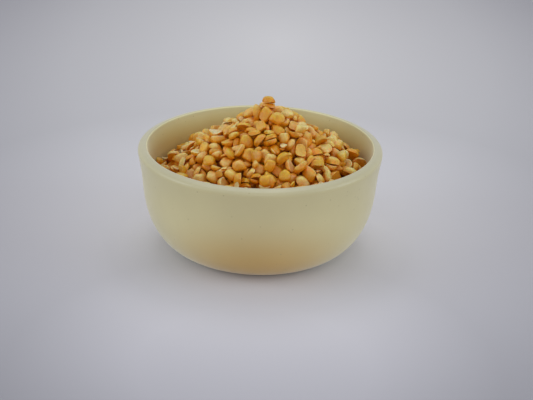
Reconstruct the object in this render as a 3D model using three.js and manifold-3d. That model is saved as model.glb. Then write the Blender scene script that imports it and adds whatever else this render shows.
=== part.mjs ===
// A dish of yellow split peas: a plain round stoneware bowl, filled with a loose heap of dried split peas.
// Millimetres, +Z up, origin at the centre of the bowl's flat base.

import * as THREE from 'three';
import { mergeVertices } from 'three/addons/utils/BufferGeometryUtils.js';
import Module from 'manifold-3d';

// Driving dimensions of the bowl
const RIM_RADIUS = 60; // widest ring of the outside, just under the lip
const BOWL_HEIGHT = 54;
const LIP_RISE = 1.8; // height of the rounded lip above the widest ring
const WALL = 4.7; // thickness of the upper wall
const SHOULDER_RADIUS = 57.9; // where the round belly passes into the straight flare of the upper wall
const SHOULDER_HEIGHT = 39.5;
const FOOT_RADIUS = 31; // flat base
const FLOOR_HEIGHT = 6; // inside floor above the base
const FLOOR_RADIUS = 26; // flat part of the inside floor
const BELLY_POWER = 2.3; // of the outside: 2 makes the belly an ellipse, more makes it fuller
const HOLLOW_POWER = 2.08; // of the inside

// Driving dimensions of the heap
const HEAP_TOP = 76.5; // mean surface at the peak; single peas stand a little higher
const HEAP_SLOPE = 0.7; // rise over run of the heap's side
const PEAK_ROUNDING = 0.8; // radius over which the peak is rounded off
const PEAK_SHIFT = 3.5; // the peak stands this far along +X from the bowl's axis
const CORE_DEPTH = 3.4; // the solid core lies this far below the heap's surface
const HEAP_GAP = 0.35; // clearance between the heap and the bowl
const PEAK_TIP_RUN = 3.2; // the core's tip is a flatter cone of this radius
const PEAK_REACH = 72; // the core's peak is worked out this far from its axis, past the bowl's rim
const PEAK_SKIRT = 120; // and its foot is wider still, so that the bowl's hollow alone cuts it

// One split pea, a half ball with a flat cut face
const PEA_DIAMETER = 6.6;
const PEA_THICKNESS = 3.4;
const PEA_BEND_RADIUS = 0.74; // its round side bends once, at this share of the radius
const PEA_BEND_HEIGHT = 0.48; // and at this share of the half thickness
const PEA_SIZE_SPREAD = 0.1; // largest and smallest pea, as a share of the mean size
const PEA_SPACING = 3.6; // each pea covers, in plan, a circle of this radius
const PEA_LEAN = 0.85; // largest lean of a pea away from the heap's surface, in radians
const PEA_SINK = 0.72; // share of a pea's half height that lies below the heap's surface
const WALL_STEP = 0.5; // a pea that would touch the wall moves inward by steps of this length
const WALL_STEPS = 8; // and is left out if it still touches after this many
const CUT_FACE_UP = 0.5; // share of the peas that lie with the cut face up

// Number of flat sides
const BOWL_SIDES = 60;
const HEAP_SIDES = 30; // a half of the bowl's, so that the heap's corners line up with the bowl's
const PEAK_SIDES = 16;
const BELLY_STEPS = 8;
const LIP_STEPS = 6;
const PEA_SIDES = 6;

const GOLDEN_ANGLE = Math.PI * (3 - Math.sqrt(5));
const RANDOM_SEED = 20231;
const MERGE_DISTANCE = 1e-4; // corners closer than this are one corner
const UP = new THREE.Vector3(0, 0, 1);

const wasm = await Module();
wasm.setup();

// Even random numbers from 0 to 1, the same on every run.
function seededRandom(seed) {
  const factor = 48271;
  const modulus = 2147483647;
  let state = seed;
  return () => {
    state = (state * factor) % modulus;
    return state / modulus;
  };
}

// A solid of revolution about Z from (radius, height) points that start and end on the axis.
function turned(points, sides) {
  const geometry = new THREE.LatheGeometry(points, sides);
  geometry.rotateX(Math.PI / 2);
  return geometry;
}

// Quarter of a rounded belly, from level at its foot to upright at its shoulder.
function bellyPoints(foot, shoulder, power) {
  const points = [];
  for (let i = 0; i <= BELLY_STEPS; i += 1) {
    const angle = (Math.PI / 2) * (i / BELLY_STEPS);
    const out = Math.sin(angle) ** (2 / power);
    const up = 1 - Math.cos(angle) ** (2 / power);
    points.push(new THREE.Vector2(
      THREE.MathUtils.lerp(foot.x, shoulder.x, out),
      THREE.MathUtils.lerp(foot.y, shoulder.y, up),
    ));
  }
  return points;
}

// Half ellipse over the wall's edge, from the widest ring to the inside of the wall.
function lipPoints() {
  const points = [];
  for (let i = 0; i <= LIP_STEPS; i += 1) {
    const angle = Math.PI * (i / LIP_STEPS);
    points.push(new THREE.Vector2(
      RIM_RADIUS - WALL / 2 + (WALL / 2) * Math.cos(angle),
      BOWL_HEIGHT - LIP_RISE + LIP_RISE * Math.sin(angle),
    ));
  }
  return points;
}

// The bowl's inside, from the floor's flat part to the shoulder, moved inward by a gap.
function hollowPoints(gap) {
  const foot = new THREE.Vector2(FLOOR_RADIUS - gap, FLOOR_HEIGHT + gap);
  const shoulder = new THREE.Vector2(SHOULDER_RADIUS - WALL - gap, SHOULDER_HEIGHT);
  return bellyPoints(foot, shoulder, HOLLOW_POWER);
}

// Radius of the upper wall's inside, which flares straight from the shoulder to the lip.
function wallRadius(height) {
  const flare = (RIM_RADIUS - SHOULDER_RADIUS) / (BOWL_HEIGHT - LIP_RISE - SHOULDER_HEIGHT);
  return SHOULDER_RADIUS - WALL + flare * (height - SHOULDER_HEIGHT);
}

function bowlGeometry() {
  const foot = new THREE.Vector2(FOOT_RADIUS, 0);
  const shoulder = new THREE.Vector2(SHOULDER_RADIUS, SHOULDER_HEIGHT);
  const profile = [
    new THREE.Vector2(0, 0),
    ...bellyPoints(foot, shoulder, BELLY_POWER),
    ...lipPoints(),
    ...hollowPoints(0).reverse(),
    new THREE.Vector2(0, FLOOR_HEIGHT),
  ];
  return turned(profile, BOWL_SIDES);
}

// Height of the heap's mean surface: a cone of even slope round the peak, with a rounded top.
function heapHeight(x, y) {
  const run = Math.hypot(x - PEAK_SHIFT, y, PEAK_ROUNDING) - PEAK_ROUNDING;
  return HEAP_TOP - HEAP_SLOPE * run;
}

// Upright direction of the heap's surface at a place.
function heapNormal(x, y) {
  const away = new THREE.Vector2(x - PEAK_SHIFT, y);
  const slope = (HEAP_SLOPE * away.length()) / Math.hypot(away.length(), PEAK_ROUNDING);
  away.normalize();
  return new THREE.Vector3(away.x * slope, away.y * slope, 1).normalize();
}

// A closed mesh with shared corners and no collapsed triangles, as a solid for joining and cutting.
function solidFrom(geometry) {
  const bare = new THREE.BufferGeometry();
  bare.setAttribute('position', geometry.getAttribute('position'));
  bare.setIndex(geometry.getIndex());
  const merged = mergeVertices(bare, MERGE_DISTANCE);
  const corners = merged.getIndex().array;
  const triangles = [];
  for (let i = 0; i < corners.length; i += 3) {
    const [a, b, c] = corners.slice(i, i + 3);
    if (a !== b && b !== c && c !== a) {
      triangles.push(a, b, c);
    }
  }
  return new wasm.Manifold(new wasm.Mesh({
    numProp: 3,
    vertProperties: new Float32Array(merged.getAttribute('position').array),
    triVerts: new Uint32Array(triangles),
  }));
}

function geometryFrom(solid) {
  const mesh = solid.getMesh();
  const geometry = new THREE.BufferGeometry();
  geometry.setAttribute('position', new THREE.BufferAttribute(mesh.vertProperties, 3));
  geometry.setIndex(new THREE.BufferAttribute(mesh.triVerts, 1));
  geometry.computeVertexNormals();
  return geometry;
}

// The largest closed body of a solid, with its sealed hollows filled and loose scraps dropped.
function largestBody(solid) {
  const bodies = solid.decompose();
  bodies.sort((a, b) => b.volume() - a.volume());
  return bodies[0];
}

// The space that the heap may fill: the bowl's hollow and what stands straight above it.
function hollowSolid() {
  const mouth = wallRadius(BOWL_HEIGHT - LIP_RISE) - HEAP_GAP;
  const profile = [
    new THREE.Vector2(0, FLOOR_HEIGHT + HEAP_GAP),
    ...hollowPoints(HEAP_GAP),
    new THREE.Vector2(mouth, BOWL_HEIGHT - LIP_RISE),
    new THREE.Vector2(mouth, HEAP_TOP),
    new THREE.Vector2(0, HEAP_TOP),
  ];
  return solidFrom(turned(profile, HEAP_SIDES));
}

// Everything below the core's surface, as a tall peak wider than the bowl.
function peakSolid() {
  const profile = [new THREE.Vector2(0, 0), new THREE.Vector2(PEAK_SKIRT, 0)];
  for (const run of [PEAK_REACH, PEAK_TIP_RUN]) {
    profile.push(new THREE.Vector2(run, heapHeight(PEAK_SHIFT + run, 0) - CORE_DEPTH));
  }
  profile.push(new THREE.Vector2(0, HEAP_TOP - CORE_DEPTH));
  const geometry = turned(profile, PEAK_SIDES);
  geometry.translate(PEAK_SHIFT, 0, 0);
  return solidFrom(geometry);
}

// A half ball with few sides, its flat cut face down and its middle at the origin.
function peaGeometry() {
  const radius = PEA_DIAMETER / 2;
  const half = PEA_THICKNESS / 2;
  const profile = [
    new THREE.Vector2(0, -half),
    new THREE.Vector2(radius, -half),
    new THREE.Vector2(PEA_BEND_RADIUS * radius, PEA_BEND_HEIGHT * half),
    new THREE.Vector2(0, half),
  ];
  return turned(profile, PEA_SIDES);
}

// How far a leaning pea reaches above its middle.
function peaReach(lean) {
  return (PEA_DIAMETER / 2) * Math.sin(lean) + (PEA_THICKNESS / 2) * Math.cos(lean);
}

// True where no corner of the pea comes closer to the wall than the heap's gap.
function clearOfWall(geometry) {
  const corner = new THREE.Vector3();
  const position = geometry.getAttribute('position');
  for (let i = 0; i < position.count; i += 1) {
    corner.fromBufferAttribute(position, i);
    if (Math.hypot(corner.x, corner.y) > wallRadius(corner.z) - HEAP_GAP) {
      return false;
    }
  }
  return true;
}

// One pea on the heap: leaning by chance, half of them with the cut face up, a little sunk in.
function laidPea(x, y, random) {
  const size = 1 + PEA_SIZE_SPREAD * (2 * random() - 1);
  const lean = PEA_LEAN * random();
  const leanWay = 2 * Math.PI * random();
  const turn = 2 * Math.PI * random();
  const flip = random() < CUT_FACE_UP ? Math.PI : 0;
  const normal = heapNormal(x, y);
  const rotation = new THREE.Quaternion().setFromUnitVectors(UP, normal);
  const leanAxis = new THREE.Vector3(Math.cos(leanWay), Math.sin(leanWay), 0);
  rotation.multiply(new THREE.Quaternion().setFromAxisAngle(leanAxis, lean + flip));
  rotation.multiply(new THREE.Quaternion().setFromAxisAngle(UP, turn));
  const middle = new THREE.Vector3(x, y, heapHeight(x, y));
  middle.addScaledVector(normal, -PEA_SINK * size * peaReach(lean));
  const scale = new THREE.Vector3(size, size, size);
  const geometry = peaGeometry();
  geometry.applyMatrix4(new THREE.Matrix4().compose(middle, rotation, scale));
  return geometry;
}

// The pea at a place, moved towards the bowl's axis until it clears the wall, or null.
function fittedPea(x, y, random) {
  const inward = new THREE.Vector2(-x, -y).normalize().multiplyScalar(WALL_STEP);
  const geometry = laidPea(x, y, random);
  for (let step = 0; step < WALL_STEPS; step += 1) {
    if (clearOfWall(geometry)) {
      return geometry;
    }
    geometry.translate(inward.x, inward.y, WALL_STEP * HEAP_SLOPE);
  }
  return null;
}

// Peas spread evenly over the heap on a sunflower spiral round its peak.
function peaSolids() {
  const random = seededRandom(RANDOM_SEED);
  const peas = [];
  const reach = RIM_RADIUS + PEAK_SHIFT;
  const places = Math.floor((reach / PEA_SPACING) ** 2);
  for (let i = 0; i < places; i += 1) {
    const away = PEA_SPACING * Math.sqrt(i);
    const x = PEAK_SHIFT + away * Math.cos(i * GOLDEN_ANGLE);
    const y = away * Math.sin(i * GOLDEN_ANGLE);
    if (Math.hypot(x, y) > wallRadius(heapHeight(x, y))) {
      continue;
    }
    const geometry = fittedPea(x, y, random);
    if (geometry) {
      peas.push(solidFrom(geometry));
    }
  }
  return peas;
}

function heapGeometry() {
  const core = hollowSolid().intersect(peakSolid());
  const heap = wasm.Manifold.union([core, ...peaSolids()]);
  return geometryFrom(largestBody(heap));
}

function namedMesh(name, geometry, material) {
  const mesh = new THREE.Mesh(geometry, material);
  mesh.name = name;
  return mesh;
}

const glaze = new THREE.MeshStandardMaterial({ color: 0xd8d2a6, roughness: 0.42, metalness: 0 });
const driedPea = new THREE.MeshStandardMaterial({ color: 0xd99a3a, roughness: 0.62, metalness: 0 });

const dish = new THREE.Group();
dish.add(namedMesh('bowl', bowlGeometry(), glaze));
dish.add(namedMesh('split_peas', heapGeometry(), driedPea));

export default dish;
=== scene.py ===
"""A dish of yellow split peas: a glazed stoneware bowl and the loose heap of dried split peas that fills it.

The pieces are in metres, +Z up, with the origin at the centre of the bowl's base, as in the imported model.
The heap is worked out in millimetres: peas are laid one by one on a height map, shaken down as rigid bodies
after each layer, and then made into joined meshes."""

import math

import bpy
import numpy as np
from mathutils import Matrix, Quaternion, Vector


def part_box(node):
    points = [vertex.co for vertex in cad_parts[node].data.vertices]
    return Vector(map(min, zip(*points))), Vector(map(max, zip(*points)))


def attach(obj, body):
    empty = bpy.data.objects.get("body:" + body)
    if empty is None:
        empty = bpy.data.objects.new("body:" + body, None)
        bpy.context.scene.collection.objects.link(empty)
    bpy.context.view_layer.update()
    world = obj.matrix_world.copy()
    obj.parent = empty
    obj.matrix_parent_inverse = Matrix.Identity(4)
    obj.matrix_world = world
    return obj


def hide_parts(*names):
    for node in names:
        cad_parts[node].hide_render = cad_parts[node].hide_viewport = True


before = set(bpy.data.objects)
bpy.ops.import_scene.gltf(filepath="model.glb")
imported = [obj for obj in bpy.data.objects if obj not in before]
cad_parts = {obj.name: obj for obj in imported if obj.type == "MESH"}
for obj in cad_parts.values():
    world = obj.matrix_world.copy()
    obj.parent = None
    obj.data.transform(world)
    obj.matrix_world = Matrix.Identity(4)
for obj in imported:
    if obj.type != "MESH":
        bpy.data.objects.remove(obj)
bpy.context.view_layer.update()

MM = 0.001
TURN = 2 * math.pi
random = np.random.default_rng(4107)

# Bowl, in millimetres
bowl_low, bowl_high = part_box("bowl")
RIM_RADIUS = (bowl_high.x - bowl_low.x) / 2 / MM
BOWL_HEIGHT = bowl_high.z / MM
LIP_RISE = 1.6
LIP_FALL = 1.3  # how much lower the lip is outside than inside
WALL = 4.7
SHOULDER_RADIUS = 57.9  # where the round belly passes into the straight flare
SHOULDER_HEIGHT = 39.5
SHOULDER_EASE = 12.0  # the bend at the shoulder is eased over this length
LIP_EASE = 1.2  # and the bend under the lip over this one
FOOT_RADIUS = 31.0
FLOOR_HEIGHT = 6.0
FLOOR_RADIUS = 26.0
BELLY_POWER = 2.3  # of the outside: 2 makes the belly an ellipse, more makes it fuller
HOLLOW_POWER = 2.08  # of the inside
LIP_POWER = 3.0

# Steps and points along the bowl's section, and its sides
BASE_STEPS = 6
BELLY_STEPS = 40
FLARE_STEPS = 10
LIP_STEPS = 24
HOLLOW_STEPS = 30
FLOOR_STEPS = 4
WALL_POINTS = 90
EDGE_POINTS = 220
BOWL_SIDES = 192

# Heap, in millimetres
PEAK_HEIGHT = 75.2
PEAK_SHIFT = 3.5  # along +X from the bowl's axis
PEAK_TIP = 3.0  # a steeper tip adds this height
PEAK_TIP_RUN = 5.0  # and fades over this run
HEAP_SLOPE = 0.72
CORE_DEPTH = 9.0
CORE_EDGE = 47.0
CORE_LIFT = 1.0  # height of the core's bottom above the bowl's floor
CORE_SIDES = 64
CORE_STEPS = 40
WALL_GAP = 0.3
POUR_RISES = (-2.0, 0.3, 0.3)  # how far above the outline each layer ends
LEAST_ROOM = 2.1  # free height that a pea needs
ROOM_REACH = 0.6  # the free height is levelled over this share of a pea's radius
WALL_REACH = 0.7  # a pea's middle stays off the wall by this share of its radius
HOLLOW_SHARE = 0.1  # crumbs lie in this share of the places, the deepest ones
LEAST_SCRAP_RUN = 12.0
HIDDEN_DEPTH = 5.5  # peas that lie wholly deeper than this aren't made
MOST_PEAS = 1500
CRUMBS = 45
HUSKS = 6
PEA_PIECES = ("amber_peas", "golden_peas", "pale_peas", "broken_peas", "crumbs", "husks")

# Peas: radius in millimetres, the rest as shares of it, and the cut as a share of the dome's height
PEA_RADIUS = 3.7
PEA_RADIUS_SPREAD = 0.35
PEA_RADIUS_LIMITS = (2.7, 4.3)
PEA_WIDTH_SHARE = (0.8, 1.0)
PEA_DOME_SHARE = (0.52, 0.74)
PEA_CUT_SHARE = (0.05, 0.3)
CRUMB_RADIUS = (1.3, 2.1)
HUSK_RADIUS = (2.2, 3.0)
BROKEN_SHARE = 0.25

# A pea's shape, in shares of its half axes; each ring of points has its place, cut face shown and flour
PEA_SIDES = 20
CUT_RINGS = ((0.45, 1.0, 0.4), (0.8, 0.85, 0.0), (0.95, 0.8, 0.6))
RIM_RINGS = ((-0.9, 0.95, 1.0), (-0.4, 0.2, 0.5))
DOME_ANGLES = (12, 30, 48, 65, 79)
PEA_RINGS = len(CUT_RINGS) + len(RIM_RINGS) + len(DOME_ANGLES)
DOME_POWER = 2.4
OUTLINE_WAVES = ((2, 0.045), (3, 0.045), (4, 0.035), (5, 0.025), (7, 0.015))  # each a count and a size
CUT_DISH = (-0.08, 0.24)  # how far the cut face is hollowed
SADDLE_SPREAD = 0.1
SKEW_SPREAD = 0.08
LUMPS = 0.012
CREASE = math.radians(40)

# Flats pressed into a pea: how many, how steep they may be, and their least distance from the middle
CRUMB_FLATS = (6, 1.0, 0.45)
RIM_FLAT_COUNTS = (4, 8)  # without the last
RIM_FLATS = (0.3, 0.66)
DOME_FLATS = (2, 1.5, 0.7)
FARTHEST_FLAT = 0.95
PRESS = 0.8

# Broken peas and husks, in shares of the half axes
BREAK_PLACE = (-0.1, 0.45)
BREAK_BULGE = 0.25
BREAK_ROUGHNESS = 0.02
HUSK_SKIN = 0.06
HUSK_CURL = 1.2
HUSK_WIDTH = 0.6
HUSK_SKEW = 0.4
HUSK_SAG = 0.4

# A pea's looks: its tone runs from 0, amber, to 1, pale, and its painted shade from 0, in the open, to 1, in
# a gap
TONE_SPREAD = 0.75
AMBER_TONE = 0.4
PALE_TONE = 0.75
SCRAP_TONES = (0.3, 1.0)
CUT_SHOWN = (0.25, 1.0)
FLOUR_TONE = 0.4
DOME_TONE = 0.25
MEAN_DOME = 0.4
# faces turned up are made paler by this much: painted light
PAINTED_TOP_LIGHT = 0.35
MEAN_UPWARD = 0.4
SIDE_LIGHT = 0.55  # light on an upright face, as a share of that on a level one
FULL_LIGHT = 0.75
LIGHT_RANGE = 0.7

# Laying: the height map in millimetres, and then the trial poses of each pea
CELL = 0.4
MAP_HALF = 56.0
WINDOW = 5.6
FIRST_TRIALS = 3
TRIALS = 14
FIRST_LEAN = 0.65
TUMBLED_SHARE = 0.2
ROOM_ROUND = 1.06  # a pea takes up the room of one this much larger
STEPS = (0.25, 0.2, 0.16, 0.12, 0.09, 0.06, 0.04)
SLIDE = 2.0
LONGEST_SLIDE = 1.2
LEAST_UPRIGHT = 1e-6
SKY_SIDES = 8
SKY_REACHES = (0.8, 1.6, 2.8)

# Shaking down: metres in the simulation for each millimetre of the heap, its length, and how the peas move
BODY_SCALE = 0.1
BODY_FRAMES = 30
BODY_STEPS = 10
BODY_SOLVES = 20
BODY_MARGIN = 0.05
GRIP = 2.0
DRAG = 0.3
SPIN_DRAG = 0.6
HELD_DEPTH = 6.0  # peas deeper than this stay where they were laid
COLLAR = 20.0  # the wall that holds the peas reaches this far above the rim
COLLAR_STEPS = 40
BED_STEPS = 24

# Colours: one, or stops of a position and a colour
# Outside glaze by height: paler near the foot as painted bounce light from the floor, darker on the lip as
# painted shade
GLAZE_OUTSIDE_AND_PAINTED_LIGHT = (
    (0.05, (0.64, 0.565, 0.32)),
    (0.4, (0.59, 0.515, 0.285)),
    (0.945, (0.58, 0.51, 0.285)),
    (0.982, (0.42, 0.385, 0.24)),
)
# Inside glaze by height: warmer and darker low down next to the peas, as painted bounce light and shade from
# them
GLAZE_INSIDE_AND_PAINTED_BOUNCE = (
    (0.8, (0.57, 0.43, 0.155)),
    (0.87, (0.58, 0.49, 0.21)),
    (0.93, (0.6, 0.545, 0.27)),
    (0.98, (0.62, 0.59, 0.34)),
)
# painted warm bounce light, low on the front of the bowl
GLAZE_PAINTED_BOUNCE = (0.53, 0.33, 0.09)
GLAZE_SPECK = (0.3, 0.25, 0.13)
PEA_SKIN = (
    (0.0, (0.53, 0.26, 0.005)),
    (0.5, (0.585, 0.378, 0.021)),
    (1.0, (0.635, 0.515, 0.18)),
)
PEA_MEAL = (
    (0.0, (0.545, 0.39, 0.06)),
    (0.5, (0.585, 0.48, 0.15)),
    (1.0, (0.64, 0.595, 0.42)),
)
PEA_PAINTED_SHADE = (0.69, 0.248, 0.003)
PEA_BLOTCHES = ((0.33, (0.9, 0.84, 0.7)), (0.65, (1.06, 1.07, 1.06)))
PEA_FRECKLES = ((0.33, (0.94, 0.89, 0.8)), (0.65, (1.05, 1.05, 1.05)))
HUSK_BLOTCHES = ((0.0, (0.55, 0.37, 0.12)), (1.0, (0.61, 0.48, 0.23)))
# dark colours of the core: painted shade between the peas
DEEP_PEAS_PAINTED_SHADE = ((0.0, (0.35, 0.06, 0.004)), (1.0, (0.55, 0.16, 0.015)))
# Floor colour by distance from a middle behind the dish: a painted fall-off of light, darker farther out
FLOOR_PAINTED_FALLOFF = (
    (0.0, (0.59, 0.575, 0.59)),
    (0.5, (0.44, 0.43, 0.455)),
    (0.72, (0.344, 0.335, 0.365)),
    (0.9, (0.272, 0.265, 0.295)),
    (1.0, (0.246, 0.24, 0.27)),
)

# Where the glaze's painted warm bounce light and specks and the floor's painted light lie and fade, in
# metres
PAINTED_BOUNCE_STRETCH = (0.8, 1.0, 1.3)
PAINTED_BOUNCE_MIDDLE = (0.0, -0.062, 0.0)
PAINTED_BOUNCE_REACH = (0.012, 0.056)
SPECK_REACH = (0.05, 0.09)  # in shares of the specks' spacing
SPECK_STRENGTH = 0.5
FLOOR_STRETCH = (2.0, 1.0, 1.0)
FLOOR_PAINTED_LIGHT_MIDDLE = (0.02, 0.35, 0.0)
FLOOR_FADE = 0.6
FLOOR_PAINTED_LIGHT_PATCHES = (  # painted light round and in front of the dish: middle, where it starts to fade, where it ends, and how much paler it is
    ((0.0, 0.0, 0.0), 0.04, 0.2, 1.42),
    ((0.0, 0.0, 0.0), 0.045, 0.075, 1.15),
    ((0.0, -0.12, 0.0), 0.05, 0.105, 1.22),
)

# Studio: floor and camera in millimetres, lamps in metres
FLOOR_HALF = 4000.0
CAMERA_PLACE = (3.65, -610.2, 289.6)
CAMERA_PITCH = math.radians(23.55)
CAMERA_ROLL = math.radians(1.44)
CAMERA_LENS = 90.0
CAMERA_SENSOR = 36.0
LAMP_TARGET = (0.0, 0.0, 0.04)
COOL = (0.8, 0.92, 1.0)
WARM = (1.0, 0.94, 0.82)
WHITE = (1.0, 1.0, 1.0)
SURROUND = (0.96, 0.975, 1.0)
SURROUND_STRENGTH = 0.66


# Bowl shape

def belly(foot, shoulder, power, steps):
    """Points of a rounded quarter from level at the foot to upright at the shoulder."""
    angle = np.linspace(0, math.pi / 2, steps + 1)
    out = np.sin(angle) ** (2 / power)
    up = 1 - np.cos(angle).clip(0) ** (2 / power)
    radius = foot[0] + (shoulder[0] - foot[0]) * out
    height = foot[1] + (shoulder[1] - foot[1]) * up
    return np.stack([radius, height], -1)


def lip(steps):
    """Rounded edge of the wall, from the widest ring over the top to the inside; it falls outwards."""
    angle = np.linspace(0, math.pi, steps + 1)
    across = np.sign(np.cos(angle)) * np.abs(np.cos(angle)) ** (2 / LIP_POWER)
    up = np.sin(angle).clip(0) ** (2 / LIP_POWER)
    radius = RIM_RADIUS - WALL / 2 + WALL / 2 * across
    height = BOWL_HEIGHT - LIP_RISE * (1 - up) - LIP_FALL * (1 + across) / 2
    return np.stack([radius, height], -1)


def straight(start, end, steps):
    """Points between two places, without the ends."""
    share = np.linspace(0, 1, steps + 2)[1:-1, None]
    return np.asarray(start) + share * (np.asarray(end) - np.asarray(start))


def eased(points, reach, count):
    """An outline's points spaced evenly, with its bends eased over a reach along it; its ends stay."""
    run = np.concatenate([[0], np.hypot(*np.diff(points, axis=0).T).cumsum()])
    even = np.linspace(0, run[-1], count)
    path = np.stack([np.interp(even, run, points[:, 0]), np.interp(even, run, points[:, 1])], -1)
    half = round(reach / even[1])
    before = 2 * path[0] - path[half:0:-1]
    after = 2 * path[-1] - path[-2 : -half - 2 : -1]
    longer = np.concatenate([before, path, after])
    window = np.hanning(2 * half + 3)[1:-1]
    window /= window.sum()
    return np.stack([np.convolve(longer[:, axis], window, "valid") for axis in (0, 1)], -1)


def bowl_profile():
    """The bowl's section from the middle of its base, outside first, to the middle of its floor."""
    shoulder = (SHOULDER_RADIUS, SHOULDER_HEIGHT)
    inner_shoulder = (SHOULDER_RADIUS - WALL, SHOULDER_HEIGHT)
    base = straight((0, 0), (FOOT_RADIUS, 0), BASE_STEPS)
    outside = belly((FOOT_RADIUS, 0), shoulder, BELLY_POWER, BELLY_STEPS)
    edge = lip(LIP_STEPS)
    inside = belly((FLOOR_RADIUS, FLOOR_HEIGHT), inner_shoulder, HOLLOW_POWER, HOLLOW_STEPS)[::-1]
    floor = straight(inside[-1], (0, FLOOR_HEIGHT), FLOOR_STEPS)
    flare_out = straight(outside[-1], edge[0], FLARE_STEPS)
    flare_in = straight(edge[-1], inside[0], FLARE_STEPS)
    wall = eased(np.concatenate([outside, flare_out, edge[:1]]), SHOULDER_EASE, WALL_POINTS)
    crest = len(edge) // 2
    wall = eased(np.concatenate([wall, edge[1 : crest + 1]]), LIP_EASE, EDGE_POINTS)
    return np.concatenate([base, wall[:-1], edge[crest:], flare_in, inside, floor])


def inner_radius(height):
    """Radius of the bowl's inside at a height."""
    flare = (RIM_RADIUS - SHOULDER_RADIUS) / (BOWL_HEIGHT - LIP_RISE - SHOULDER_HEIGHT)
    upper = SHOULDER_RADIUS - WALL + flare * (height - SHOULDER_HEIGHT)
    below = 1 - (height - FLOOR_HEIGHT) / (SHOULDER_HEIGHT - FLOOR_HEIGHT)
    out = (1 - below.clip(0, 1) ** HOLLOW_POWER) ** (1 / HOLLOW_POWER)
    lower = FLOOR_RADIUS + (SHOULDER_RADIUS - WALL - FLOOR_RADIUS) * out
    return np.where(height > SHOULDER_HEIGHT, upper, lower)


# Meshes

def mesh_piece(name, points, faces, material):
    """A smooth mesh object from points in millimetres and faces."""
    mesh = bpy.data.meshes.new(name)
    mesh.from_pydata((points * MM).tolist(), [], faces)
    mesh.materials.append(material)
    mesh.polygons.foreach_set("use_smooth", [True] * len(mesh.polygons))
    mesh.update()
    piece = bpy.data.objects.new(name, mesh)
    bpy.context.collection.objects.link(piece)
    return piece


def ring_faces(rings, sides):
    """Faces of a closed form: the first point, rings of points, and the last point."""
    faces = []
    last = 1 + rings * sides
    for side in range(sides):
        after = (side + 1) % sides
        faces.append((0, 1 + after, 1 + side))
        for ring in range(rings - 1):
            here = 1 + ring * sides
            above = here + sides
            faces.append((here + side, here + after, above + after, above + side))
        faces.append((last, last - sides + side, last - sides + after))
    return faces


def turned(profile, sides, shift=0.0):
    """Points and faces of a solid of revolution about an upright axis at x = shift.

    The profile runs between two points on the axis, which it leaves out."""
    angle = np.arange(sides) * TURN / sides
    points = np.empty((len(profile), sides, 3))
    points[:, :, 0] = profile[:, :1] * np.cos(angle) + shift
    points[:, :, 1] = profile[:, :1] * np.sin(angle)
    points[:, :, 2] = profile[:, 1:]
    ends = np.array([[shift, 0, profile[0, 1]], [shift, 0, profile[-1, 1]]])
    points = np.concatenate([ends[:1], points.reshape(-1, 3), ends[1:]])
    return points, ring_faces(len(profile), sides)


# Material nodes

def new_material(name):
    """A material with its node tree and its Principled shader."""
    material = bpy.data.materials.new(name)
    material.use_nodes = True
    tree = material.node_tree
    return material, tree, tree.nodes["Principled BSDF"]


def add_node(tree, kind, **settings):
    """A node with its properties, or its inputs by name, set."""
    node = tree.nodes.new(kind)
    for key, value in settings.items():
        if key in node.inputs:
            node.inputs[key].default_value = value
        else:
            setattr(node, key, value)
    return node


def own_place(tree):
    """The place of a point in the object's own space, in metres."""
    return add_node(tree, "ShaderNodeTexCoord").outputs["Object"]


def stretched(tree, place, factors):
    """A place with each of its coordinates multiplied."""
    node = add_node(tree, "ShaderNodeVectorMath", operation="MULTIPLY")
    node.inputs[1].default_value = factors
    tree.links.new(place, node.inputs[0])
    return node.outputs["Vector"]


def distance(tree, place, middle):
    """How far a place is from a fixed one."""
    node = add_node(tree, "ShaderNodeVectorMath", operation="DISTANCE")
    node.inputs[1].default_value = middle
    tree.links.new(place, node.inputs[0])
    return node.outputs["Value"]


def noise(tree, scale):
    """Noise in the object's own space, with its scale in waves a metre."""
    node = add_node(tree, "ShaderNodeTexNoise", Scale=scale, Detail=3.0)
    tree.links.new(own_place(tree), node.inputs["Vector"])
    return node.outputs["Fac"]


def ranged(tree, value, low, high, to_low, to_high, course="LINEAR"):
    """A value mapped from one range to another, held at the ends."""
    node = add_node(tree, "ShaderNodeMapRange", interpolation_type=course)
    node.inputs["From Min"].default_value = low
    node.inputs["From Max"].default_value = high
    node.inputs["To Min"].default_value = to_low
    node.inputs["To Max"].default_value = to_high
    tree.links.new(value, node.inputs["Value"])
    return node.outputs["Result"]


def varied(tree, scale, low, high, reach=0.2):
    """A value that varies between two limits, which noise meets at a reach either side of its mean."""
    return ranged(tree, noise(tree, scale), 0.5 - reach, 0.5 + reach, low, high)


def mixed(tree, blend, factor, first, second):
    """Two colours mixed; each may be a socket or a constant."""
    node = add_node(tree, "ShaderNodeMix", data_type="RGBA", blend_type=blend)
    for socket, value in ((node.inputs[0], factor), (node.inputs[6], first), (node.inputs[7], second)):
        if isinstance(value, bpy.types.NodeSocket):
            tree.links.new(value, socket)
        elif isinstance(value, tuple):
            socket.default_value = (*value, 1.0)
        else:
            socket.default_value = value
    return node.outputs[2]


def ramp(tree, factor, stops):
    """A ramp through stops of a position and a colour."""
    node = add_node(tree, "ShaderNodeValToRGB")
    elements = node.color_ramp.elements
    while len(elements) < len(stops):
        elements.new(0.5)
    for element, (position, colour) in zip(elements, stops):
        element.position = position
        element.color = (*colour, 1.0)
    tree.links.new(factor, node.inputs["Fac"])
    return node.outputs["Color"]


def toned(tree, colour, factor):
    """A colour multiplied by a value."""
    grey = add_node(tree, "ShaderNodeCombineColor")
    for channel in ("Red", "Green", "Blue"):
        tree.links.new(factor, grey.inputs[channel])
    return mixed(tree, "MULTIPLY", 1.0, colour, grey.outputs["Color"])


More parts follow.
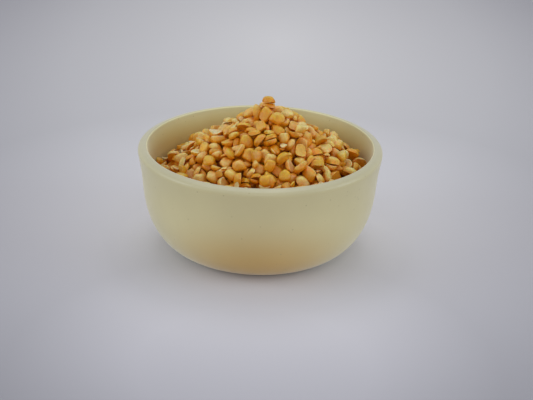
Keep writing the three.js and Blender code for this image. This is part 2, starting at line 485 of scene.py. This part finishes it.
def bumped(tree, height, strength, depth):
    """A normal bumped by a height, with its depth in metres."""
    node = add_node(tree, "ShaderNodeBump", Strength=strength, Distance=depth)
    tree.links.new(height, node.inputs["Height"])
    return node.outputs["Normal"]


def connect(tree, shader, colour, roughness, normal):
    """Gives a shader its colour, roughness and bumped normal."""
    tree.links.new(colour, shader.inputs["Base Color"])
    tree.links.new(roughness, shader.inputs["Roughness"])
    tree.links.new(normal, shader.inputs["Normal"])


# Materials

def glaze_material():
    """Satin cream glaze with fine sparse specks; painted warm bounce low on the front and inside, painted
    shade on the lip.
    """
    material, tree, shader = new_material("glaze")
    place = own_place(tree)
    axes = add_node(tree, "ShaderNodeSeparateXYZ")
    tree.links.new(place, axes.inputs["Vector"])
    level = ranged(tree, axes.outputs["Z"], 0.0, BOWL_HEIGHT * MM, 0.0, 1.0)
    # painted warm bounce light, low on the front of the outside
    away = distance(tree, stretched(tree, place, PAINTED_BOUNCE_STRETCH), PAINTED_BOUNCE_MIDDLE)
    painted_bounce = ranged(tree, away, *PAINTED_BOUNCE_REACH, 1.0, 0.0, "SMOOTHSTEP")
    outside = mixed(tree, "MIX", painted_bounce, ramp(tree, level, GLAZE_OUTSIDE_AND_PAINTED_LIGHT), GLAZE_PAINTED_BOUNCE)
    sides = add_node(tree, "ShaderNodeAttribute", attribute_name="inside")
    colour = mixed(tree, "MIX", sides.outputs["Fac"], outside, ramp(tree, level, GLAZE_INSIDE_AND_PAINTED_BOUNCE))
    colour = toned(tree, colour, varied(tree, scale=26.0, low=0.95, high=1.03))
    cells = add_node(tree, "ShaderNodeTexVoronoi", Scale=220.0)
    tree.links.new(place, cells.inputs["Vector"])
    speck = ranged(tree, cells.outputs["Distance"], *SPECK_REACH, SPECK_STRENGTH, 0.0)
    colour = mixed(tree, "MIX", speck, colour, GLAZE_SPECK)
    roughness = varied(tree, scale=140.0, low=0.36, high=0.48)
    normal = bumped(tree, noise(tree, scale=420.0), strength=0.06, depth=0.0004)
    connect(tree, shader, colour, roughness, normal)
    shader.inputs["Specular IOR Level"].default_value = 0.6
    shader.inputs["Sheen Weight"].default_value = 0.35
    shader.inputs["Sheen Roughness"].default_value = 0.4
    return material


def pea_material():
    """Dried pea: amber and smooth on the round side, paler and mealy on the cut face, painted deeper shade
    in the gaps.
    """
    material, tree, shader = new_material("dried_pea")
    look = add_node(tree, "ShaderNodeAttribute", attribute_name="pea_look")
    parts = add_node(tree, "ShaderNodeSeparateColor")
    tree.links.new(look.outputs["Color"], parts.inputs["Color"])
    tone, cut, painted_shade = parts.outputs["Red"], parts.outputs["Green"], parts.outputs["Blue"]
    colour = mixed(tree, "MIX", cut, ramp(tree, tone, PEA_SKIN), ramp(tree, tone, PEA_MEAL))
    # painted shade: deep amber mixed in where little light reaches a point
    colour = mixed(tree, "MIX", painted_shade, colour, PEA_PAINTED_SHADE)
    for scale, stops in ((420.0, PEA_BLOTCHES), (1500.0, PEA_FRECKLES)):
        mottle = ramp(tree, noise(tree, scale), stops)
        colour = mixed(tree, "MULTIPLY", 1.0, colour, mottle)
    roughness = varied(tree, scale=1400.0, low=0.34, high=0.46)
    normal = bumped(tree, noise(tree, scale=900.0), strength=0.5, depth=0.0004)
    connect(tree, shader, colour, roughness, normal)
    shader.inputs["Specular IOR Level"].default_value = 0.5
    shader.inputs["Subsurface Weight"].default_value = 0.5
    shader.inputs["Subsurface Radius"].default_value = (1.0, 0.4, 0.12)
    shader.inputs["Subsurface Scale"].default_value = 0.001
    return material


def husk_material():
    """Dry papery skin: pale straw with faint blotches."""
    material, tree, shader = new_material("dried_skin")
    colour = ramp(tree, varied(tree, scale=500.0, low=0.0, high=1.0), HUSK_BLOTCHES)
    roughness = varied(tree, scale=1400.0, low=0.5, high=0.65)
    normal = bumped(tree, noise(tree, scale=1200.0), strength=0.4, depth=0.0003)
    connect(tree, shader, colour, roughness, normal)
    return material


def core_material():
    """What shows deep between the peas: more peas, coloured dark as painted shade."""
    material, tree, shader = new_material("deep_peas_in_painted_shade")
    colour = ramp(tree, varied(tree, scale=260.0, low=0.0, high=1.0, reach=0.15), DEEP_PEAS_PAINTED_SHADE)
    roughness = varied(tree, scale=900.0, low=0.7, high=0.9)
    normal = bumped(tree, noise(tree, scale=260.0), strength=0.8, depth=0.002)
    connect(tree, shader, colour, roughness, normal)
    return material


def floor_material():
    """Pale matt floor with painted light: palest behind the dish, darker farther out, and paler close round
    and in front of it.
    """
    material, tree, shader = new_material("floor")
    place = own_place(tree)
    behind = distance(tree, stretched(tree, place, FLOOR_STRETCH), FLOOR_PAINTED_LIGHT_MIDDLE)
    colour = ramp(tree, ranged(tree, behind, 0.0, FLOOR_FADE, 0.0, 1.0), FLOOR_PAINTED_FALLOFF)
    for middle, start, end, gain in FLOOR_PAINTED_LIGHT_PATCHES:
        painted_light = ranged(tree, distance(tree, place, middle), start, end, gain, 1.0)
        colour = toned(tree, colour, painted_light)
    colour = toned(tree, colour, varied(tree, scale=3.0, low=0.98, high=1.0))
    tree.links.new(colour, shader.inputs["Base Color"])
    shader.inputs["Roughness"].default_value = 0.9
    return material


# Pea shapes

def pea_rings(cut_share):
    """Rings of a pea from its cut face over the rounded edge to the top of its dome.

    Each row gives a ring's share of the radius and of the dome's height, how much of the cut face it shows,
    and how floury it is."""
    below = math.asin(cut_share)
    rings = []
    for share, shows, floury in CUT_RINGS:
        rings.append((share * math.cos(below), -cut_share, shows, floury))
    for place, shows, floury in RIM_RINGS:
        rings.append((math.cos(place * below), math.sin(place * below), shows, floury))
    for degrees in DOME_ANGLES:
        angle = math.radians(degrees)
        rings.append((math.cos(angle) ** (2 / DOME_POWER), math.sin(angle) ** (2 / DOME_POWER), 0.0, 0.0))
    return np.array(rings)


def uneven_ring():
    """A ring's uneven outline, near 1."""
    angle = np.arange(PEA_SIDES) * TURN / PEA_SIDES
    outline = np.ones(PEA_SIDES)
    for waves, size in OUTLINE_WAVES:
        outline += random.normal(0, size) * np.cos(waves * angle + random.uniform(0, TURN))
    return outline


def pressed(points, count, steepness, nearest):
    """Points with flats pressed into them, down to a distance from the middle.

    A low steepness presses on the rim alone, and a high one on the dome as well."""
    for _ in range(count):
        side = random.normal(size=3) * (1, 1, steepness)
        side /= np.linalg.norm(side)
        beyond = (points @ side - random.uniform(nearest, FARTHEST_FLAT)).clip(0)
        points = points - PRESS * beyond[:, None] * side
    return points


def snapped(points, place):
    """Points of a pea broken across its length, spread back over its half axes."""
    rough = random.normal(0, BREAK_ROUGHNESS, len(points))
    beyond = points[:, 0] > place
    points[beyond, 0] = place + BREAK_BULGE * (points[beyond, 0] - place) + rough[beyond]
    points[:, 0] = (points[:, 0] - (place - 1) / 2) / ((place + 1) / 2)
    return points


def pea_shape(kind, cut_share, break_place):
    """Points of one uneven pea, in shares of its half axes."""
    rings = pea_rings(cut_share)
    angle = np.arange(PEA_SIDES) * TURN / PEA_SIDES
    share, rise, on_cut = rings[:, :1], rings[:, 1:2], rings[:, 2:3] > 0.5
    outline = uneven_ring()
    dish = random.uniform(*CUT_DISH) * (1 - share**2) * on_cut
    x = share * outline * np.cos(angle)
    y = share * outline * np.sin(angle)
    z = rise + dish + 0 * angle
    flat = -cut_share + dish[0, 0]
    points = np.concatenate([[[0, 0, flat]], np.stack([x, y, z], -1).reshape(-1, 3), [[0, 0, 1]]])
    points[:, 2] += random.normal(0, SADDLE_SPREAD) * (points[:, 0] ** 2 - points[:, 1] ** 2)
    points[:, 0] += random.normal(0, SKEW_SPREAD) * points[:, 2]
    points *= random.normal(1, LUMPS, (len(points), 1))
    if kind == "crumb":
        return pressed(points, *CRUMB_FLATS)
    points = pressed(points, random.integers(*RIM_FLAT_COUNTS), *RIM_FLATS)
    points = pressed(points, *DOME_FLATS)
    if kind == "broken":
        return snapped(points, break_place)
    return points


def husk_shape():
    """Points of a thin curled skin with pointed ends, in shares of its half axes."""
    along = np.linspace(-1, 1, PEA_RINGS + 2)[1:-1, None]
    half = PEA_SIDES // 2
    across = np.concatenate([np.linspace(-1, 1, half), np.linspace(1, -1, half)])
    skin = np.repeat([HUSK_SKIN, -HUSK_SKIN], half)
    width = np.sqrt(1 - along**2)
    x = np.sin(HUSK_CURL * along) + 0 * across
    y = HUSK_WIDTH * width * across + HUSK_SKEW * along
    z = 2 * np.cos(HUSK_CURL * along) - 1 - HUSK_SAG * (width * across) ** 2 + skin
    tips = [[end * math.sin(HUSK_CURL), HUSK_SKEW * end, 2 * math.cos(HUSK_CURL) - 1] for end in (-1, 1)]
    return np.concatenate([tips[:1], np.stack([x, y, z], -1).reshape(-1, 3), tips[1:]])


class Pea:
    """A pea as a cut ellipsoid: its half axes, how far below its middle it is cut, and where it lies."""

    def __init__(self, kind, radius):
        dome = radius * random.uniform(*PEA_DOME_SHARE)
        break_place = random.uniform(*BREAK_PLACE) if kind == "broken" else 1.0
        self.kind = kind
        self.axes = np.array([radius, radius * random.uniform(*PEA_WIDTH_SHARE), dome])
        self.axes[0] *= (1 + break_place) / 2
        self.cut_share = random.uniform(*PEA_CUT_SHARE)
        self.shape = husk_shape() if kind == "husk" else pea_shape(kind, self.cut_share, break_place)
        self.turn = np.eye(3)
        self.place = np.zeros(3)

    def points(self):
        """The pea's points where it lies."""
        return (self.shape * self.axes) @ self.turn.T + self.place

    def span(self, turns, x, y):
        """Lowest and highest point over places (x, y) from the pea's middle, for each trial turn."""
        axes = self.axes * ROOM_ROUND
        form = turns @ np.diag(1 / axes**2) @ turns.transpose(0, 2, 1)
        form = form[:, :, :, None]
        middle = -(form[:, 0, 2] * x + form[:, 1, 2] * y) / form[:, 2, 2]
        plan = form[:, 0, 0] * x * x + 2 * form[:, 0, 1] * x * y + form[:, 1, 1] * y * y
        square = middle**2 - (plan - 1) / form[:, 2, 2]
        half = np.sqrt(square.clip(0))
        dome = turns[:, :, 2, None]
        upright = np.where(np.abs(dome[:, 2]) < LEAST_UPRIGHT, LEAST_UPRIGHT, dome[:, 2])
        flat = -(axes[2] * self.cut_share + dome[:, 0] * x + dome[:, 1] * y) / upright
        low = np.where(upright > 0, np.maximum(middle - half, flat), middle - half)
        high = np.where(upright > 0, middle + half, np.minimum(middle + half, flat))
        return low, high, (square > 0) & (high > low)

    def balance(self):
        """Height of the centre of mass above the ellipsoid's middle, along the dome."""
        k = self.cut_share
        return self.axes[2] * (0.25 - k**2 / 2 + k**4 / 4) / (2 / 3 + k - k**3 / 3)


# Pouring the heap

def outline_height(x, y):
    """Height of the heap's outline: a cone with a steeper tip, whose peak stands off the bowl's axis."""
    run = np.hypot(x - PEAK_SHIFT, y)
    return PEAK_HEIGHT - HEAP_SLOPE * run + PEAK_TIP * np.exp(-run / PEAK_TIP_RUN)


def about(axis, angles):
    """Rotation matrices about the x, y or z axis, one for each angle."""
    first, second = {"x": (1, 2), "y": (2, 0), "z": (0, 1)}[axis]
    turns = np.tile(np.eye(3), (len(angles), 1, 1))
    turns[:, first, first] = np.cos(angles)
    turns[:, second, second] = np.cos(angles)
    turns[:, first, second] = -np.sin(angles)
    turns[:, second, first] = np.sin(angles)
    return turns


def first_turns(x, y):
    """Trial turns of a pea that lies on the heap's slope, on either face; a few are tumbled any way."""
    heading = np.full(FIRST_TRIALS, math.atan2(y, x - PEAK_SHIFT))
    lean = np.where(random.random(FIRST_TRIALS) < TUMBLED_SHARE, math.pi, FIRST_LEAN)
    down = math.atan(HEAP_SLOPE) * random.random(FIRST_TRIALS) + lean * random.normal(size=FIRST_TRIALS)
    side = lean * random.normal(size=FIRST_TRIALS)
    face = math.pi * random.integers(0, 2, FIRST_TRIALS)
    spin = random.uniform(0, TURN, FIRST_TRIALS)
    return about("z", heading) @ about("y", down) @ about("x", side + face) @ about("z", spin)


def small_turns(size):
    """Trial turns that change a pose by about an angle."""
    return about("x", random.normal(0, size, TRIALS)) @ about("y", random.normal(0, size, TRIALS))


def spread(values, half):
    """Mean of a grid over a square of cells round each cell."""
    size = 2 * half + 1
    total = np.pad(np.pad(values, half, mode="edge"), ((1, 0), (1, 0))).cumsum(0).cumsum(1)
    whole = total[size:, size:] - total[:-size, size:] - total[size:, :-size] + total[:-size, :-size]
    return whole / size**2


class HeightMap:
    """The heap's surface as it grows, on a square grid, up to the outline and a rise above it."""

    def __init__(self, rise):
        axis = np.arange(-MAP_HALF, MAP_HALF + CELL / 2, CELL)
        self.x, self.y = np.meshgrid(axis, axis, indexing="ij")
        self.outline = outline_height(self.x, self.y) + rise
        self.height = outline_height(self.x, self.y) - CORE_DEPTH
        self.radius = np.hypot(self.x, self.y)
        self.usable = self.radius < inner_radius(self.outline) - PEA_RADIUS * WALL_REACH

    def room(self):
        """Free height under the outline, levelled over about a pea's width; none where no pea can lie."""
        free = np.where(self.usable, self.outline - self.height, 0.0)
        return np.where(self.usable, spread(free, round(ROOM_REACH * PEA_RADIUS / CELL)), -np.inf)

    def free_spot(self):
        """A random cell with enough room for a pea, or None."""
        spots = np.flatnonzero(self.room() > LEAST_ROOM)
        return random.choice(spots) if len(spots) else None

    def hollow(self, share):
        """A random cell out of a share of the roomiest ones, off the peak."""
        side = self.usable & (np.hypot(self.x - PEAK_SHIFT, self.y) > LEAST_SCRAP_RUN)
        room = np.where(side, self.room(), -np.inf)
        least = np.quantile(room[side], 1 - share)
        return random.choice(np.flatnonzero(room >= least))

    def window(self, x, y):
        """Slices of the cells near a place."""
        reach = round(WINDOW / CELL)
        i = round((x + MAP_HALF) / CELL)
        j = round((y + MAP_HALF) / CELL)
        return slice(max(i - reach, 0), i + reach + 1), slice(max(j - reach, 0), j + reach + 1)

    def rest_heights(self, window, pea, turns, places):
        """Height at which the pea comes to rest in each trial, or infinity where it would cross the wall."""
        x = self.x[window].ravel() - places[:, :1]
        y = self.y[window].ravel() - places[:, 1:]
        low, _, covered = pea.span(turns, x, y)
        rest = np.where(covered, self.height[window].ravel() - low, -np.inf).max(1)
        wall = inner_radius(rest[:, None] + low) - WALL_GAP
        crosses = (covered & (self.radius[window].ravel() > wall)).any(1)
        return np.where(crosses, np.inf, rest)

    def settle(self, pea, spot):
        """Lays the pea at a cell: the lowest of trial poses, then of smaller and smaller changes to it."""
        start = np.array([self.x.flat[spot], self.y.flat[spot]])
        window = self.window(*start)
        best = np.inf
        for step in (STEPS[0], *STEPS):
            if not np.isfinite(best):
                turns = first_turns(*start)
                places = start + random.normal(0, step * SLIDE, (FIRST_TRIALS, 2))
            else:
                turns = small_turns(step) @ pea.turn
                places = pea.place[:2] + random.normal(0, step * SLIDE, (TRIALS, 2))
            places = np.clip(places, start - LONGEST_SLIDE, start + LONGEST_SLIDE)
            rest = self.rest_heights(window, pea, turns, places)
            score = rest + turns[:, 2, 2] * pea.balance() - outline_height(places[:, 0], places[:, 1])
            pick = int(score.argmin())
            if score[pick] < best:
                best = score[pick]
                pea.turn = turns[pick]
                pea.place = np.array([*places[pick], rest[pick]])
        return np.isfinite(best)

    def cover(self, pea):
        """Adds a settled pea to the surface."""
        window = self.window(*pea.place[:2])
        x = (self.x[window] - pea.place[0]).reshape(1, -1)
        y = (self.y[window] - pea.place[1]).reshape(1, -1)
        _, high, covered = pea.span(pea.turn[None], x, y)
        top = np.where(covered, pea.place[2] + high, -np.inf).reshape(self.height[window].shape)
        self.height[window] = np.maximum(self.height[window], top)

    def add(self, pea, spot):
        """Settles a pea at a cell; False where it can't lie."""
        if not self.settle(pea, spot):
            self.usable.flat[spot] = False
            return False
        self.cover(pea)
        return True

    def at(self, heights, x, y):
        """Values of a grid of heights at places."""
        last = len(heights) - 1
        i = ((x + MAP_HALF) / CELL).round().astype(int).clip(0, last)
        j = ((y + MAP_HALF) / CELL).round().astype(int).clip(0, last)
        return heights[i, j]

    def depth(self, points):
        """How far points lie below the heap's surface, levelled over about a pea's width."""
        level = spread(self.height, round(PEA_RADIUS / CELL))
        return self.at(level, points[:, 0], points[:, 1]) - points[:, 2]

    def openness(self, points):
        """How much of the sky points see over the peas round them, from 0 to 1."""
        seen = np.zeros(len(points))
        for angle in np.arange(SKY_SIDES) * TURN / SKY_SIDES:
            rise = np.zeros(len(points))
            for reach in SKY_REACHES:
                x = points[:, 0] + reach * math.cos(angle)
                y = points[:, 1] + reach * math.sin(angle)
                rise = np.maximum(rise, (self.at(self.height, x, y) - points[:, 2]) / reach)
            seen += 1 - rise / np.hypot(rise, 1)
        return seen / SKY_SIDES


def surface_of(peas, rise=0.0):
    """The height map of a heap of peas that lie already."""
    heap = HeightMap(rise)
    for pea in peas:
        heap.cover(pea)
    return heap


def pour(peas, rise):
    """Lays more peas on those that lie already, until the heap reaches its outline and a rise above it."""
    heap = surface_of(peas, rise)
    for _ in range(MOST_PEAS):
        spot = heap.free_spot()
        if spot is None:
            break
        radius = np.clip(random.normal(PEA_RADIUS, PEA_RADIUS_SPREAD), *PEA_RADIUS_LIMITS)
        pea = Pea("broken" if random.random() < BROKEN_SHARE else "whole", radius)
        if heap.add(pea, spot):
            peas.append(pea)


def add_scraps(heap):
    """Crumbs laid in the heap's hollows, and husks laid anywhere on its sides."""
    scraps = []
    kinds = (("crumb", CRUMBS, CRUMB_RADIUS, HOLLOW_SHARE), ("husk", HUSKS, HUSK_RADIUS, 1.0))
    for kind, count, sizes, share in kinds:
        for _ in range(count):
            scrap = Pea(kind, random.uniform(*sizes))
            if heap.add(scrap, heap.hollow(share)):
                scraps.append(scrap)
    return scraps


def core_slope(steps):
    """Section of the core's upper side, from its edge to just before its peak."""
    run = np.linspace(CORE_EDGE, 0, steps)[:-1]
    return np.stack([run, outline_height(run + PEAK_SHIFT, 0 * run) - CORE_DEPTH], -1)


# Shaking the heap down

def rigid_world(scene):
    """Starts a simulation, and gives the collection whose objects become its rigid bodies."""
    bpy.ops.rigidbody.world_add()
    world = scene.rigidbody_world
    collection = bpy.data.collections.new("shaking")
    scene.collection.children.link(collection)
    world.collection = collection
    world.substeps_per_frame = BODY_STEPS
    world.solver_iterations = BODY_SOLVES
    world.point_cache.frame_start = 1
    world.point_cache.frame_end = BODY_FRAMES
    return collection


def rigid_body(collection, name, points, faces, shape):
    """An object in the simulation's collection, which makes it a rigid body."""
    mesh = bpy.data.meshes.new(name)
    mesh.from_pydata((points * BODY_SCALE).tolist(), [], faces)
    body = bpy.data.objects.new(name, mesh)
    collection.objects.link(body)
    body.rigid_body.collision_shape = shape
    body.rigid_body.friction = GRIP
    body.rigid_body.restitution = 0.0
    body.rigid_body.linear_damping = DRAG
    body.rigid_body.angular_damping = SPIN_DRAG
    body.rigid_body.use_margin = True
    body.rigid_body.collision_margin = BODY_MARGIN * BODY_SCALE
    return body


def pea_body(collection, pea):
    """A pea's rigid body, from every other ring of its points."""
    rings = pea.shape[1:-1].reshape(PEA_RINGS, PEA_SIDES, 3)
    points = np.concatenate([rings[::2].reshape(-1, 3), pea.shape[-1:]])
    body = rigid_body(collection, "pea", points * pea.axes, [], "CONVEX_HULL")
    body.location = pea.place * BODY_SCALE
    body.rotation_mode = "QUATERNION"
    body.rotation_quaternion = Matrix(pea.turn.tolist()).to_quaternion()
    if outline_height(*pea.place[:2]) - pea.place[2] > HELD_DEPTH:
        body.rigid_body.type = "PASSIVE"
    return body


def bed_bodies(collection):
    """What the peas lie on and against: the core, and the bowl's inside with a collar above it."""
    level = np.linspace(FLOOR_HEIGHT + CORE_LIFT, BOWL_HEIGHT + COLLAR, COLLAR_STEPS)
    wall = np.stack([inner_radius(level) - WALL_GAP, level], -1)
    core_points, core_faces = turned(core_slope(BED_STEPS), CORE_SIDES, PEAK_SHIFT)
    wall_points, wall_faces = turned(wall, CORE_SIDES)
    open_faces = [face for face in wall_faces if len(wall_points) - 1 not in face]
    bodies = [
        rigid_body(collection, "core", core_points, core_faces, "MESH"),
        rigid_body(collection, "wall", wall_points, open_faces, "MESH"),
    ]
    for body in bodies:
        body.rigid_body.type = "PASSIVE"
    return bodies


def shake_down(peas):
    """Lets the laid peas drop against each other as rigid bodies, and takes over their poses."""
    scene = bpy.context.scene
    first_frame = scene.frame_current
    collection = rigid_world(scene)
    bodies = [pea_body(collection, pea) for pea in peas]
    beds = bed_bodies(collection)
    for step in range(1, BODY_FRAMES + 1):
        scene.frame_set(step)
    for pea, body in zip(peas, bodies):
        pose = np.array(body.matrix_world)
        pea.place = pose[:3, 3] / BODY_SCALE
        pea.turn = pose[:3, :3]
    bpy.ops.rigidbody.world_remove()
    for body in bodies + beds:
        mesh = body.data
        bpy.data.objects.remove(body)
        bpy.data.meshes.remove(mesh)
    bpy.data.collections.remove(collection)
    scene.frame_set(first_frame)


# Heap

def pea_look(pea, tone):
    """A pea's points' tone and cut face, in a colour's red and green."""
    rings = pea_rings(pea.cut_share)
    look = np.ones((len(pea.shape), 4))
    look[:, 0] = tone + DOME_TONE * (pea.shape[:, 2] - MEAN_DOME)
    look[1:-1, 0] += FLOUR_TONE * np.repeat(rings[:, 3], PEA_SIDES)
    look[1:-1, 1] = np.repeat(rings[:, 2], PEA_SIDES)
    look[-1, 1] = 0
    look[:, 1] *= random.uniform(*CUT_SHOWN)
    return look


def pea_piece(name, peas, tones, heap, material):
    """One joined mesh of many peas; a colour attribute holds each point's tone, with painted top light, cut
    face and painted shade.
    """
    single = ring_faces(PEA_RINGS, PEA_SIDES)
    points = np.concatenate([pea.points() for pea in peas])
    looks = np.concatenate([pea_look(pea, tone) for pea, tone in zip(peas, tones)])
    faces = []
    for start in range(0, len(points), len(peas[0].shape)):
        faces.extend(tuple(start + corner for corner in face) for face in single)
    piece = mesh_piece(name, points, faces, material)
    piece.data.set_sharp_from_angle(angle=CREASE)
    normals = np.empty(len(points) * 3)
    piece.data.vertices.foreach_get("normal", normals)
    upward = normals[2::3]
    light = heap.openness(points) * (SIDE_LIGHT + (1 - SIDE_LIGHT) * upward)
    # painted light: faces turned up are paler
    looks[:, 0] += PAINTED_TOP_LIGHT * (upward - MEAN_UPWARD)
    # painted shade, from how open a point is to the sky and how far it faces up
    looks[:, 2] = ((FULL_LIGHT - light) / LIGHT_RANGE).clip(0, 1)
    layer = piece.data.color_attributes.new("pea_look", "FLOAT_COLOR", "POINT")
    layer.data.foreach_set("color", looks.ravel())
    return piece


def piece_name(pea, tone):
    """Name of the piece that a pea is in: by its kind and, where it is whole, by its tone."""
    if pea.kind != "whole":
        return {"broken": "broken_peas", "crumb": "crumbs", "husk": "husks"}[pea.kind]
    if tone < AMBER_TONE:
        return "amber_peas"
    if tone < PALE_TONE:
        return "golden_peas"
    return "pale_peas"


def make_core():
    """The solid under the loose peas, which shows only deep between them."""
    bottom = [[FLOOR_RADIUS, FLOOR_HEIGHT + CORE_LIFT]]
    profile = np.concatenate([bottom, core_slope(CORE_STEPS)])
    points, faces = turned(profile, CORE_SIDES, PEAK_SHIFT)
    return mesh_piece("deep_peas_in_painted_shade", points, faces, core_material())


def make_heap():
    """The heap's peas, in one piece for each kind, and the core under them."""
    peas = []
    for rise in POUR_RISES:
        pour(peas, rise)
        shake_down(peas)
    heap = surface_of(peas)
    scraps = add_scraps(heap)
    shown = [pea for pea in peas if heap.depth(pea.points()).min() < HIDDEN_DEPTH]
    pea_tones = random.beta(TONE_SPREAD, TONE_SPREAD, len(shown))
    scrap_tones = random.uniform(*SCRAP_TONES, len(scraps))
    groups = {name: [] for name in PEA_PIECES}
    for pea, tone in zip(shown + scraps, (*pea_tones, *scrap_tones)):
        groups[piece_name(pea, tone)].append((pea, tone))
    flesh, skin = pea_material(), husk_material()
    pieces = [make_core()]
    for name, group in groups.items():
        pieces.append(pea_piece(name, *zip(*group), heap, skin if name == "husks" else flesh))
    for piece in pieces:
        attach(piece, "root")
        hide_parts("split_peas")


# Bowl

def make_bowl():
    """The glazed bowl; an attribute tells its inside from its outside."""
    points, faces = turned(bowl_profile(), BOWL_SIDES)
    piece = mesh_piece("glazed_bowl", points, faces, glaze_material())
    radius = np.hypot(points[:, 0], points[:, 1])
    inside = (radius < inner_radius(points[:, 2]) + WALL_GAP) & (points[:, 2] > FLOOR_HEIGHT - WALL_GAP)
    layer = piece.data.attributes.new("inside", "FLOAT", "POINT")
    layer.data.foreach_set("value", inside.astype(float))
    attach(piece, "root")
    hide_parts("bowl")


# Studio

def make_floor():
    """A wide plain floor."""
    corners = FLOOR_HALF * np.array([[-1, -1, 0], [1, -1, 0], [1, 1, 0], [-1, 1, 0]])
    mesh_piece("floor", corners, [(0, 1, 2, 3)], floor_material())


def area_light(name, place, size, power, colour):
    """A soft round lamp that points at the dish."""
    data = bpy.data.lights.new(name, "AREA")
    data.shape = "DISK"
    data.size = size
    data.energy = power
    data.color = colour
    lamp = bpy.data.objects.new(name, data)
    lamp.location = place
    lamp.rotation_euler = (Vector(LAMP_TARGET) - Vector(place)).to_track_quat("-Z", "Y").to_euler()
    lamp.visible_camera = False
    bpy.context.collection.objects.link(lamp)


def make_lights():
    """A large soft lamp overhead, two cool soft sides, a warm front and an even surround."""
    area_light("overhead", (0.0, 0.3, 0.95), size=0.7, power=2.3, colour=WHITE)
    area_light("left", (-0.85, -0.2, 0.3), size=0.6, power=2.6, colour=COOL)
    area_light("right", (0.85, -0.2, 0.3), size=0.6, power=2.6, colour=COOL)
    area_light("front", (0.0, -1.1, 0.5), size=0.6, power=1.7, colour=WARM)
    world = bpy.data.worlds.new("surround")
    world.use_nodes = True
    background = world.node_tree.nodes["Background"]
    background.inputs["Color"].default_value = (*SURROUND, 1.0)
    background.inputs["Strength"].default_value = SURROUND_STRENGTH
    bpy.context.scene.world = world
    bpy.context.scene.view_settings.view_transform = "Standard"


def make_camera():
    """The photograph's view: a long lens, looking down a little, with a slight roll."""
    data = bpy.data.cameras.new("camera")
    data.lens = CAMERA_LENS
    data.sensor_width = CAMERA_SENSOR
    camera = bpy.data.objects.new("camera", data)
    camera.location = [side * MM for side in CAMERA_PLACE]
    camera.rotation_mode = "QUATERNION"
    down = Quaternion((1, 0, 0), math.pi / 2 - CAMERA_PITCH)
    camera.rotation_quaternion = down @ Quaternion((0, 0, 1), CAMERA_ROLL)
    bpy.context.collection.objects.link(camera)
    bpy.context.scene.camera = camera


make_camera()
make_lights()
make_floor()
make_bowl()
make_heap()
